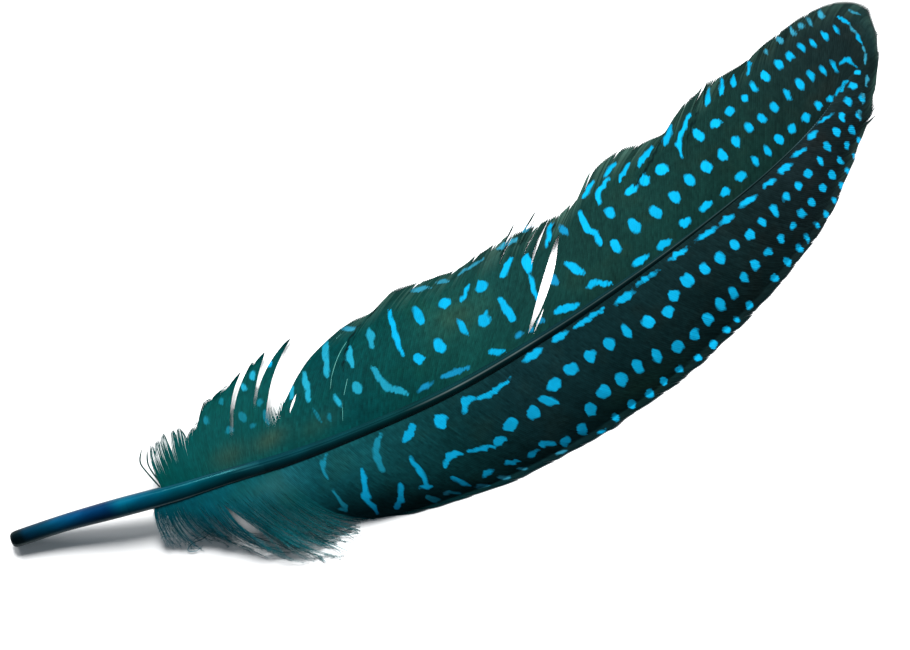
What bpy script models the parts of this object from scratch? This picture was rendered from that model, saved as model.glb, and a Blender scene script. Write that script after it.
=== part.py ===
"""Wing feather of a guinea fowl, dyed turquoise, lying domed side up on its two vane edges.

The bare quill points to -X, the tip of the vane to +X, and the tip curves towards +Y.
A feather grows as one piece, so it is one solid: a tapering shaft with one vane sheet fused to
it, which runs out along the +Y side, round the tip and back along the -Y side. The sheet is
divided into locks, bundles of barbs that part from each other at the rim.
The origin is under the middle of the feather, on the surface that it lies on.
"""
import math

import bmesh
import bpy
import numpy as np
from mathutils import Vector

MM = 0.001

# Shaft, from the quill's end to where it fades out near the tip:
# x, y and height of its middle, and its thickness (mm)
SHAFT = [
    (-89.4, 18.25, 1.6, 3.0),
    (-79.5, 15.8, 3.6, 3.1),
    (-69.5, 12.8, 5.4, 3.5),
    (-59.5, 9.7, 6.7, 3.4),
    (-49.5, 7.0, 7.5, 3.0),
    (-39.5, 4.2, 7.9, 2.8),
    (-29.5, 2.0, 8.0, 2.5),
    (-9.5, -1.1, 7.9, 2.3),
    (10.5, -1.9, 7.2, 2.0),
    (30.5, -1.4, 6.1, 1.5),
    (45.5, -0.3, 4.9, 1.0),
    (60.5, 1.5, 3.5, 0.85),
    (71.5, 4.0, 2.3, 0.75),
    (82.4, 8.4, 1.1, 0.6),
]
SHAFT_STEP = 4.0
SHAFT_SIDES = 12
QUILL_TIP_ROUNDING = 0.9     # length over which the quill's cut end is rounded (mm)
CUT_END_LENGTH = 2.6         # blackened end of the quill (mm)
FADE_LENGTH = 1.2            # last stretch, over which the shaft sinks into the vane (mm)

# Locks at the base of the +Y vane, each one chosen by hand: x where the lock leaves the shaft,
# x, y and height of its tip, the angle at which it leaves, and the part of its length at which it
# parts from the next lock (mm, degrees)
TUFTS = [
    (-60.6, -58.9, 19.3, 4.5, 88, 0.80),
    (-59.3, -57.9, 19.6, 4.0, 86, 0.85),
    (-58.1, -56.2, 19.8, 4.0, 84, 0.58),
    (-56.9, -54.5, 19.5, 4.0, 82, 0.84),
    (-55.8, -53.4, 19.2, 3.5, 82, 0.80),
    (-54.2, -51.1, 17.8, 3.5, 80, 0.90),
    (-52.2, -47.1, 20.7, 2.5, 80, 0.93),
    (-50.7, -43.2, 20.9, 2.0, 77, 0.93),
    (-49.3, -38.9, 21.7, 1.5, 74, 0.50),
    (-47.2, -36.4, 22.0, 1.2, 72, 0.93),
    (-45.6, -33.5, 22.4, 1.0, 70, 0.58),
    (-43.7, -28.3, 22.0, 0.6, 66, 0.33),
]

# The closed vane, as stations that its locks are spaced along, from the +Y side round the tip to
# the -Y side: x where a barb leaves the shaft, x and y of its tip, and the angle at which it leaves
VANE = [
    (-40.9, -22.5, 18.9, 62),
    (-36.5, -18.5, 18.8, 61),
    (-32.0, -14.5, 18.3, 60),
    (-25.5, -8.5, 18.9, 57),
    (-14.5, 2.5, 16.7, 48),
    (-4.0, 13.5, 16.3, 38),
    (4.0, 23.0, 15.3, 33),
    (7.5, 26.5, 15.5, 40),
    (13.5, 31.5, 17.5, 49),
    (20.5, 37.0, 18.5, 55),
    (32.0, 47.5, 17.4, 57),
    (36.5, 51.5, 18.6, 57),
    (43.5, 58.5, 20.1, 57),
    (52.5, 66.5, 20.3, 57),
    (61.0, 73.5, 21.1, 55),
    (67.0, 80.5, 21.3, 51),
    (73.5, 86.3, 20.1, 46),
    (77.6, 89.3, 17.6, 38),
    (80.6, 89.7, 13.4, 28),
    (80.8, 88.0, 9.0, 10),
    (77.5, 85.4, 5.5, -10),
    (74.0, 82.2, 1.7, -30),
    (71.5, 80.2, -0.6, -38),
    (69.0, 78.0, -1.9, -42),
    (62.5, 73.0, -5.8, -50),
    (52.5, 64.5, -11.5, -58),
    (40.5, 53.5, -16.0, -63),
    (25.5, 39.0, -19.8, -67),
    (10.5, 24.5, -22.0, -70),
    (-4.5, 9.0, -22.4, -73),
    (-19.5, -6.5, -21.2, -76),
    (-29.5, -17.0, -18.9, -78),
    (-37.5, -26.0, -16.2, -80),
    (-42.5, -32.0, -13.6, -82),
]
VANE_LOCKS = 54
DEEPER_EVERY = 4             # every so many locks one parts from the next a little deeper
SHALLOW_PART = 0.94          # part of a lock's length at which it parts from the next
DEEP_PART = 0.89

# Gaps inside the vane, as x of the lock's tip beside it, its side, and the parts of the lock's
# length between which it stays open; and the torn notch near the tip on the -Y side
SLIT_TIP_X = 23.6
SLIT = (0.15, 0.78)
SLIT_WIDTH = 1.1
NOTCH_TIP_X = 79.2
NOTCH_PART = 0.88

# Downy locks at the base of the -Y vane, in the same form as the tufts
DOWN = [
    (-44.9, -36.0, -14.3, 0.0, -84, 0.90),
    (-47.3, -38.4, -14.7, 0.0, -85, 0.90),
    (-49.5, -40.6, -14.0, 0.0, -86, 0.82),
    (-51.5, -41.4, -16.2, 0.0, -84, 0.50),
    (-53.3, -44.4, -15.2, 0.0, -81, 0.45),
    (-55.2, -48.6, -11.0, 0.0, -87, 0.88),
    (-57.3, -53.4, -6.7, 0.0, -91, 0.80),
    (-59.2, -57.4, -3.4, 0.0, -93, 0.80),
    (-60.9, -61.2, -1.8, 0.0, -94, 0.80),
    (-62.5, -64.3, 0.1, 0.0, -96, 0.90),
]

BARB_BOW = 0.63              # how far along its first direction a barb's bend lies, by its length
STEPS = (0.0, 0.15, 0.30, 0.45, 0.58, 0.70, 0.82, 0.90, 0.955, 1.0)
THICKNESS = 0.5              # of the vane sheet where the shaft is thick (mm)
THIN = 0.3                   # and towards the tip
TIP_THICKNESS = 0.22
ROOT_DEPTH = 0.35            # how far from the shaft's middle the vane begins, by its radius
RIDGE = 0.22                 # height of a lock's middle over its sides (mm)
FLAT_RIM = 0.88              # part of a lock's length at which it has come down to the surface
DROOP_FIRST = 0.55           # share of a lock's fall that is even, the rest grows outwards

COLOURS = {
    "vane": ((0.012, 0.065, 0.070), 0.55),
    "shaft": ((0.010, 0.100, 0.160), 0.25),
    "quill_cut": ((0.006, 0.007, 0.008), 0.60),
}


def smooth(knots, values, at):
    """Cubic through the values at the knots, with each slope the mean of the spans beside it."""
    knots = np.asarray(knots, float)
    values = np.asarray(values, float)
    spans = np.diff(knots)
    rises = np.diff(values, axis=0) / spans[:, None]
    slopes = np.vstack((rises[:1], (rises[1:] + rises[:-1]) / 2, rises[-1:]))
    i = int(np.clip(np.searchsorted(knots, at, side="right") - 1, 0, len(spans) - 1))
    h = spans[i]
    u = (at - knots[i]) / h
    start = values[i] * (1 + 2 * u) * (1 - u) ** 2 + slopes[i] * h * u * (1 - u) ** 2
    end = values[i + 1] * u * u * (3 - 2 * u) + slopes[i + 1] * h * u * u * (u - 1)
    return start + end


def shaft_at(x):
    """Middle of the shaft (x, y, z) and its radius at an x."""
    xs = [row[0] for row in SHAFT]
    y, z, thickness = smooth(xs, [row[1:] for row in SHAFT], x)
    return np.array((x, y, z)), thickness / 2


def material(name):
    colour, roughness = COLOURS[name]
    made = bpy.data.materials.new(name)
    made.use_nodes = True
    shader = made.node_tree.nodes["Principled BSDF"]
    shader.inputs["Base Color"].default_value = (*colour, 1.0)
    shader.inputs["Roughness"].default_value = roughness
    made.diffuse_color = (*colour, 1.0)
    return made


def add_object(name, mesh, slots):
    made = bpy.data.objects.new(name, mesh)
    for slot in slots:
        mesh.materials.append(slot)
    bpy.context.scene.collection.objects.link(made)
    return made


def shaft_rings():
    """Places and radii of the shaft's rings, the first ones rounding off the cut end."""
    first, last = SHAFT[0][0], SHAFT[-1][0]
    rounding = [(first, 0.7), (first + QUILL_TIP_ROUNDING * 0.35, 0.9)]
    rounding += [(first + QUILL_TIP_ROUNDING, 1.0), (first + CUT_END_LENGTH, 1.0)]
    even = np.arange(first + CUT_END_LENGTH + SHAFT_STEP, last - SHAFT_STEP / 2, SHAFT_STEP)
    rings = rounding + [(x, 1.0) for x in even] + [(last - FADE_LENGTH, 1.0), (last, 0.3)]
    return [(shaft_at(x)[0], shaft_at(x)[1] * share) for x, share in rings]


def shaft_mesh():
    """Round tube along the shaft's middle line, closed at both ends."""
    rings = shaft_rings()
    bm = bmesh.new()
    loops = []
    for i, (middle, radius) in enumerate(rings):
        before = rings[max(i - 1, 0)][0]
        after = rings[min(i + 1, len(rings) - 1)][0]
        forward = Vector(after - before).normalized()
        side = Vector((0, 0, 1)).cross(forward).normalized()
        up = forward.cross(side)
        loop = []
        for k in range(SHAFT_SIDES):
            turn = 2 * math.pi * (k + 0.5) / SHAFT_SIDES
            out = side * math.cos(turn) + up * math.sin(turn)
            loop.append(bm.verts.new((Vector(middle) + out * radius) * MM))
        loops.append(loop)
    for i in range(len(loops) - 1):
        cut_end = i < 3
        for k in range(SHAFT_SIDES):
            after = (k + 1) % SHAFT_SIDES
            face = bm.faces.new((loops[i][k], loops[i][after], loops[i + 1][after], loops[i + 1][k]))
            face.material_index = 1 if cut_end else 0
    cap = bm.faces.new(loops[0])
    cap.material_index = 1
    bm.faces.new(loops[-1])
    bmesh.ops.recalc_face_normals(bm, faces=bm.faces)
    mesh = bpy.data.meshes.new("shaft")
    bm.to_mesh(mesh)
    bm.free()
    return mesh


def vane_locks():
    """All locks as rows like those of the tufts, from the first tuft round to the last down."""
    tips = np.array([row[1:3] for row in VANE])
    along = np.concatenate(([0.0], np.cumsum(np.linalg.norm(np.diff(tips, axis=0), axis=1))))
    locks = []
    for k in range(VANE_LOCKS):
        root_x, tip_x, tip_y, angle = smooth(along, VANE, along[-1] * k / (VANE_LOCKS - 1))
        part = DEEP_PART if k % DEEPER_EVERY == 1 else SHALLOW_PART
        locks.append((root_x, tip_x, tip_y, 0.0, angle, part))
    return TUFTS + locks + DOWN


def middle_line(lock):
    """A lock's middle at each step, as x, y and the height of its underside."""
    root_x, tip_x, tip_y, tip_z, angle, _ = lock
    centre, radius = shaft_at(root_x)
    leave = np.array((math.cos(math.radians(angle)), math.sin(math.radians(angle))))
    root = centre[:2] + leave * radius * ROOT_DEPTH
    tip = np.array((tip_x, tip_y))
    bend = root + leave * np.linalg.norm(tip - root) * BARB_BOW
    root_z = centre[2] + radius * ROOT_DEPTH - sheet_thickness(radius) / 2
    line = []
    for t in STEPS:
        place = root * (1 - t) ** 2 + bend * 2 * t * (1 - t) + tip * t * t
        fall = min(t / FLAT_RIM, 1.0)
        drop = DROOP_FIRST * fall + (1 - DROOP_FIRST) * fall * fall
        ridge = RIDGE * math.sin(math.pi * fall)
        line.append((*place, tip_z + (root_z - tip_z) * (1 - drop), ridge))
    return np.array(line)


def sheet_thickness(radius):
    return THIN + (THICKNESS - THIN) * min(radius, 1.0)


def turned(vector, angle):
    c, s = math.cos(angle), math.sin(angle)
    return np.array((c * vector[0] - s * vector[1], s * vector[0] + c * vector[1]))


def heading(line, j):
    """Direction of a lock's middle line at a step, in plan."""
    step = line[min(j + 1, len(line) - 1)][:2] - line[max(j - 1, 0)][:2]
    return math.atan2(step[1], step[0])


def open_steps(locks, k):
    """Steps at which the border after lock k is open, and the step its parting begins from."""
    part = locks[k][5]
    tip_x, tip_y = locks[k][1], locks[k][2]
    next_x = locks[k + 1][1]
    crosses_notch = tip_y < 0 and next_x < NOTCH_TIP_X <= tip_x
    if crosses_notch:
        part = NOTCH_PART
    crosses_slit = tip_y > 0 and tip_x < SLIT_TIP_X <= next_x
    slit = {j for j, t in enumerate(STEPS) if crosses_slit and SLIT[0] < t < SLIT[1]}
    if crosses_slit:
        part = SHALLOW_PART
    opened = {j for j, t in enumerate(STEPS) if t > part}
    return opened, slit


def border_lines(locks, middles):
    """Left and right border of each lock at each step, and the steps at which each is open."""
    count = len(locks)
    lefts = [None] * count
    rights = [None] * count
    opens = [None] * (count + 1)
    opens[0] = opens[count] = set(range(len(STEPS)))
    for k in range(count - 1):
        opened, slit = open_steps(locks, k)
        opens[k + 1] = opened | slit
        shared = (middles[k] + middles[k + 1]) / 2
        shared[:, 2] -= (middles[k][:, 3] + middles[k + 1][:, 3]) / 2
        rights[k] = shared.copy()
        lefts[k + 1] = shared.copy()
        last_closed = min(opened) - 1
        for own, line in ((k, rights[k]), (k + 1, lefts[k + 1])):
            part_border(middles[own], line, last_closed)
        for j in slit:
            across = turned((1.0, 0.0), heading(middles[k], j) + math.pi / 2)
            width = SLIT_WIDTH / 2 * math.sin(math.pi * (STEPS[j] - SLIT[0]) / (SLIT[1] - SLIT[0]))
            rights[k][j, :2] += across * width
            lefts[k + 1][j, :2] -= across * width
    for end, beside, line in ((0, rights[0], lefts), (count - 1, lefts[-1], rights)):
        mirrored = 2 * middles[end] - beside
        mirrored[:, 2] = beside[:, 2]
        line[end] = mirrored
    return lefts, rights, opens


def part_border(middle, border, last_closed):
    """Past its parting, a border keeps its lock's width and closes in on the lock's tip."""
    offset = border[last_closed, :2] - middle[last_closed, :2]
    start = heading(middle, last_closed)
    begun = STEPS[last_closed]
    for j in range(last_closed + 1, len(STEPS)):
        gone = (STEPS[j] - begun) / (1 - begun)
        turn = heading(middle, j) - start
        border[j, :2] = middle[j, :2] + turned(offset, turn) * (1 - gone) ** 0.8


class Sheet:
    """The vane under construction: pairs of points, one on its underside and one on its top."""

    def __init__(self):
        self.bm = bmesh.new()
        self.pairs = {}

    def pair(self, key, place, thickness):
        if key not in self.pairs:
            x, y, z = place
            under = self.bm.verts.new((x * MM, y * MM, max(z, 0.0) * MM))
            top = self.bm.verts.new((x * MM, y * MM, (max(z, 0.0) + thickness) * MM))
            self.pairs[key] = (under, top)
        return self.pairs[key]

    def patch(self, corners):
        self.bm.faces.new([top for _, top in corners])
        self.bm.faces.new([under for under, _ in reversed(corners)])

    def wall(self, a, b):
        self.bm.faces.new((a[0], b[0], b[1], a[1]))


def vane_mesh():
    locks = vane_locks()
    middles = [middle_line(lock) for lock in locks]
    lefts, rights, opens = border_lines(locks, middles)
    sheet = Sheet()
    last = len(STEPS) - 1
    for k, lock in enumerate(locks):
        thick = sheet_thickness(shaft_at(lock[0])[1])
        columns = []
        for j, t in enumerate(STEPS):
            depth = thick + (TIP_THICKNESS - thick) * t ** 3
            if j == last:
                tip = sheet.pair(("tip", k), middles[k][j, :3], depth)
                columns.append((tip, tip, tip))
                continue
            left_key = ("left", k, j) if j in opens[k] else ("border", k, j)
            right_key = ("right", k, j) if j in opens[k + 1] else ("border", k + 1, j)
            columns.append((
                sheet.pair(left_key, lefts[k][j, :3], depth),
                sheet.pair(("middle", k, j), middles[k][j, :3], depth),
                sheet.pair(right_key, rights[k][j, :3], depth),
            ))
        for j in range(last):
            (left, middle, right), (left_out, middle_out, right_out) = columns[j], columns[j + 1]
            if j + 1 == last:
                sheet.patch((left, middle, middle_out))
                sheet.patch((middle, right, middle_out))
            else:
                sheet.patch((left, middle, middle_out, left_out))
                sheet.patch((middle, right, right_out, middle_out))
            if j in opens[k] or j + 1 in opens[k]:
                sheet.wall(left_out, left)
            if j in opens[k + 1] or j + 1 in opens[k + 1]:
                sheet.wall(right, right_out)
        left, middle, right = columns[0]
        sheet.wall(left, middle)
        sheet.wall(middle, right)
    bmesh.ops.recalc_face_normals(sheet.bm, faces=sheet.bm.faces)
    mesh = bpy.data.meshes.new("vane")
    sheet.bm.to_mesh(mesh)
    sheet.bm.free()
    return mesh


def build():
    for old in list(bpy.data.objects):
        bpy.data.objects.remove(old, do_unlink=True)
    feather = add_object("feather", vane_mesh(), [material("vane")])
    shaft = add_object("shaft_guide", shaft_mesh(), [material("shaft"), material("quill_cut")])
    shaft.hide_render = True
    shaft.display_type = "WIRE"
    join = feather.modifiers.new("fuse_shaft", "BOOLEAN")
    join.operation = "UNION"
    join.object = shaft
    join.material_mode = "TRANSFER"


build()
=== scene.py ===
"""Looks of the guinea fowl feather: every barb of its vanes, tufts and down as mesh, the shaft,
the rows of bright spots, and a plain white floor under soft light from the top of the picture.

Lengths in the tables are millimetres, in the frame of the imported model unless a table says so.
"""
import math

import bpy
import numpy as np
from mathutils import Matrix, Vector


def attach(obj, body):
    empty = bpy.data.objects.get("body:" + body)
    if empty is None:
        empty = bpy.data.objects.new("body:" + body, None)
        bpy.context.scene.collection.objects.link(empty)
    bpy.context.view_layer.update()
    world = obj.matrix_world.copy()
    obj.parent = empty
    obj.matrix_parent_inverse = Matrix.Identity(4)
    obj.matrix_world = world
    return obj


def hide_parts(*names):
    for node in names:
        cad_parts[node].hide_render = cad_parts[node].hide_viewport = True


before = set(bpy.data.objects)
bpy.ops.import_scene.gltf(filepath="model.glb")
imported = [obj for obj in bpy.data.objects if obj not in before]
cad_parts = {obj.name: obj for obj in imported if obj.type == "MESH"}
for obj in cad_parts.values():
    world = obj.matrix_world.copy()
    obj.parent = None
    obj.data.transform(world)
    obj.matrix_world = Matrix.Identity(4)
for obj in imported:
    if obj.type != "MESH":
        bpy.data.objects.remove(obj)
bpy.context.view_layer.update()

MM = 0.001
random = np.random.default_rng(26)

# Shaft, from the quill's end to where it fades out near the tip:
# x, y and height of its middle, and its thickness
SHAFT = [
    (-89.4, 18.25, 1.6, 3.0),
    (-79.5, 15.8, 3.6, 3.1),
    (-69.5, 12.8, 5.4, 3.5),
    (-59.5, 9.7, 6.7, 3.4),
    (-49.5, 7.0, 7.5, 3.0),
    (-39.5, 4.2, 7.9, 2.8),
    (-29.5, 2.0, 8.0, 2.5),
    (-9.5, -1.1, 7.9, 2.3),
    (10.5, -1.9, 7.2, 2.0),
    (30.5, -1.4, 6.1, 1.5),
    (45.5, -0.3, 4.9, 1.0),
    (60.5, 1.5, 3.5, 0.85),
    (71.5, 4.0, 2.3, 0.75),
    (82.4, 8.4, 1.1, 0.6),
]
SHAFT_STEP = 0.7
SHAFT_SIDES = 60
QUILL_TIP_ROUNDING = 0.9
CUT_END_LENGTH = 2.6
FADE_LENGTH = 1.2
SHAFT_GROOVES = (6, 9, 12)   # sides of the tube that run in a groove
GROOVE_DEPTH = 0.07
# What follows is by x: share of the grooves' depth, strength of the painted highlight along the top,
# roughness
GROOVE_REACH = ((-52, -44, 20, 40), (0.0, 1.0, 1.0, 0.3))
CREST_HIGHLIGHT_REACH = ((-18, -8, 4, 12), (0.0, 0.9, 0.8, 0.4))
SHAFT_DULLNESS = ((-78, -66, -62, -50, -44), (0.40, 0.25, 0.15, 0.20, 0.60))
# colour of the painted highlight, a pale line along the top of the shaft
CREST_HIGHLIGHT_TONE = (74, 80, 78)
GLOSS_END = -44.0            # x beyond which the shaft is dull
# Painted light and shade: brightness by place across the shaft, from -1 at its -Y side to 1 at its +Y side,
# dark on the -Y side away from the light and lightest part way to the +Y side
SHAFT_PAINTED_SHADE = ((-1.0, -0.4, 0.1, 0.5, 0.8, 1.0), (0.30, 0.42, 0.75, 1.15, 0.95, 0.6))

# Locks at the base of the +Y vane: x where the lock leaves the shaft, x, y and height of its tip,
# the angle at which it leaves, and the part of its length at which it parts from the next lock
TUFTS = [
    (-60.6, -58.9, 19.3, 4.5, 88, 0.80),
    (-59.3, -57.9, 19.6, 4, 86, 0.85),
    (-58.1, -56.2, 19.8, 4, 84, 0.58),
    (-56.9, -54.5, 19.5, 4, 82, 0.84),
    (-55.8, -53.4, 19.2, 3.5, 82, 0.80),
    (-54.2, -51.1, 17.8, 3.5, 80, 0.90),
    (-52.2, -47.1, 20.7, 2.5, 80, 0.93),
    (-50.7, -43.2, 20.9, 2, 77, 0.93),
    (-49.3, -38.9, 21.7, 1.5, 74, 0.50),
    (-47.2, -36.4, 22, 1.2, 72, 0.93),
    (-45.6, -33.5, 22.4, 1, 70, 0.58),
    (-43.7, -28.3, 22, 0.6, 66, 0.33),
]

# The closed vane, from the +Y side round the tip to the -Y side: x where a barb leaves the
# shaft, x and y of its tip, and the angle at which it leaves
VANE = [
    (-40.9, -22.5, 18.9, 62),
    (-36.5, -18.5, 18.8, 61),
    (-32, -14.5, 18.3, 60),
    (-25.5, -8.5, 18.9, 57),
    (-14.5, 2.5, 16.7, 48),
    (-4, 13.5, 16.3, 38),
    (4, 23, 15.3, 33),
    (7.5, 26.5, 15.5, 40),
    (13.5, 31.5, 17.5, 49),
    (20.5, 37, 18.5, 55),
    (32, 47.5, 17.4, 57),
    (36.5, 51.5, 18.6, 57),
    (43.5, 58.5, 20.1, 57),
    (52.5, 66.5, 20.3, 57),
    (61, 73.5, 21.1, 55),
    (67, 80.5, 21.3, 51),
    (73.5, 86.3, 20.1, 46),
    (77.6, 89.3, 17.6, 38),
    (80.6, 89.7, 13.4, 28),
    (80.8, 88, 9, 10),
    (77.5, 85.4, 5.5, -10),
    (74, 82.2, 1.7, -30),
    (71.5, 80.2, -0.6, -38),
    (69, 78, -1.9, -42),
    (62.5, 73, -5.8, -50),
    (52.5, 64.5, -11.5, -58),
    (40.5, 53.5, -16, -63),
    (25.5, 39, -19.8, -67),
    (10.5, 24.5, -22, -70),
    (-4.5, 9, -22.4, -73),
    (-19.5, -6.5, -21.2, -76),
    (-29.5, -17, -18.9, -78),
    (-37.5, -26, -16.2, -80),
    (-42.5, -32, -13.6, -82),
]
TIP_STATION = 19             # the station of VANE at which the +Y side ends and the -Y side begins

# Downy locks at the base of the -Y vane, in the same form as the tufts
DOWN = [
    (-44.9, -36, -14.3, 0, -84, 0.90),
    (-47.3, -38.4, -14.7, 0, -85, 0.90),
    (-49.5, -40.6, -14, 0, -86, 0.82),
    (-51.5, -41.4, -16.2, 0, -84, 0.50),
    (-53.3, -44.4, -15.2, 0, -81, 0.45),
    (-55.2, -48.6, -11, 0, -90, 0.88),
    (-57.3, -53.4, -6.7, 0, -98, 0.80),
    (-59.2, -57.4, -3.4, 0, -106, 0.80),
    (-60.9, -61.2, -1.8, 0, -114, 0.80),
    (-62.5, -64.3, 0.1, 0, -122, 0.90),
]

BARB_BOW = 0.63              # how far out a barb bends, by its length
THICKNESS = 0.5              # of the vane beside a thick shaft, beside a thin one and at the rim
THIN = 0.3
TIP_THICKNESS = 0.22
ROOT_DEPTH = 0.35            # how far into the shaft a barb starts, by its radius
FLAT_RIM = 0.88              # part of a barb's length after which it falls no further
DROOP_FIRST = 0.55           # share of the fall that is even, and not steeper towards the rim
SWEEP_FADE = 25              # barbs before the tip over which the lean of their ends fades out

BARB_PITCH = 0.40            # between the tips of neighbouring barbs in the closed vane
BARB_OVERLAP = 1.12          # width of a barb, by its distance to the next one
BARB_RIDGE = 0.016           # height of a barb's middle over its sides
VANE_STEPS = np.linspace(0.0, 1.0, 45)
GAP_BOW = 0.7                # how far the closed vane draws back from the big gap at its base
GAP_START = 0.30             # part of a barb's length at which that gap opens

# Barbs that are broken off between the tufts: first and last place in the run of locks, and the
# part of their length that is left
BREAKS = [
    (9.36, 9.62, 0.50),
    (11.33, 11.58, 0.56),
    (12.24, 12.82, 0.335),
    (12.82, 13.0, 0.42),
]

# Loose hairs of the down, from the quill's end: x, y and height of the points they run through
WISPS = [
    [(36, -21, 0.9), (37.4, -23.8, 0.7), (39.5, -26.4, 0.6), (42, -30.3, 0.3)],
    [(41.2, -22.8, 0.9), (42.8, -26.6, 0.8), (43.5, -29.6, 0.6), (45.5, -34.5, 0.3)],
    [(44.6, -24.5, 0.9), (46.3, -30.1, 0.7), (47.7, -32.3, 0.5), (48.6, -34.9, 0.3)],
    [(44.9, -24.9, 0.9), (46.8, -30, 0.7), (48.4, -32.6, 0.5), (50, -35, 0.3)],
    [(48.4, -27.2, 0.8), (51, -31.5, 0.6), (51.8, -33.6, 0.4)],
    [(33.7, -22.9, 0.4), (35.9, -26.2, 0.4), (36.9, -27.9, 0.3)],
    [(46.4, -27, 0.8), (49.8, -31, 0.5), (53.4, -32.9, 0.4)],
    [
        (31.3, -18, 0.9), (28.9, -18.4, 0.7), (26.8, -18.1, 0.6), (25.4, -18.7, 0.5),
        (26.6, -19.6, 0.4), (28.2, -19.4, 0.3),
    ],
    [(30.2, -17.3, 0.9), (28.4, -17.6, 0.6), (25.9, -17.9, 0.3)],
    [(30.8, -17.9, 0.8), (28.8, -18, 0.6), (26.9, -17.4, 0.4)],
    [(32.1, -19.5, 0.8), (32.7, -21.5, 0.6), (33.8, -23.4, 0.5), (36.4, -27, 0.3)],
    [
        (34.8, -13.9, 3.4), (34.6, -15.5, 2.9), (34.3, -17, 2.3), (34.7, -20, 1.5),
        (36.4, -21.9, 1.2), (39.1, -24.1, 1),
    ],
    [(32.1, -13.2, 3), (31.9, -14.7, 2.4), (32.1, -15.6, 2.2)],
    [(34.9, -21.1, 0.8), (37, -23.4, 0.7), (38.7, -24.7, 0.6)],
]

# Barb edges that catch the light on the +Y vane, from the quill's end
PALE_EDGES = [
    [(69.3, -0.8), (67, -1.4), (65, -2.6), (63.6, -4.4)],
    [(71.1, -1.8), (67.4, -3.6), (64.4, -6), (62.7, -8.1)],
    [(66.2, -8.2), (63.5, -11.1), (61.6, -14)],
]

# Loose barbs of the tufts and stubs in the big gap, in the same form
STRAYS = [
    [(27.9, -6.6, 5), (27.3, -2.9, 4.9), (27.3, -0.9, 4.8), (28.7, 0.9, 4.6)],
    [(28.4, -6.6, 5), (28.2, -2.4, 4.9), (29.4, 0.2, 4.7)],
    [(51.2, -7.6, 3.6), (51.3, -6.3, 3.4)],
    [(51.7, -7.9, 3.6), (52.1, -6.5, 3.5)],
    [(52.2, -8.2, 3.6), (52.7, -6.9, 3.5)],
    [(52.6, -8.6, 3.7), (53.3, -7.3, 3.5)],
    [(53, -9, 3.7), (53.9, -7.6, 3.5)],
    [(146, -1, 0.5), (147.2, 0.7, 0.6), (148.8, 2.2, 0.7)],
    [(105, -3.6, 1.4), (108, -2.2, 1.1), (110.4, -1, 0.8)],
    [(101, -3.6, 1.4), (104, -2, 1), (105.8, -0.9, 0.8)],
]

# Marks are measured from the quill's end, x towards the tip and y across, towards the +Y side
QUILL_END = (-89.5, 18.6)
TONES = {
    "cyan": (3, 140, 182),
    "lower": (10, 156, 202),
    "teal": (22, 124, 148),
    "dash": (12, 110, 148),
    "dim": (8, 86, 100),
    "pale": (44, 130, 156),
    # painted shadow: near-black for the thin lines drawn along the creases
    "crease": (1, 9, 11),
}

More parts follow.
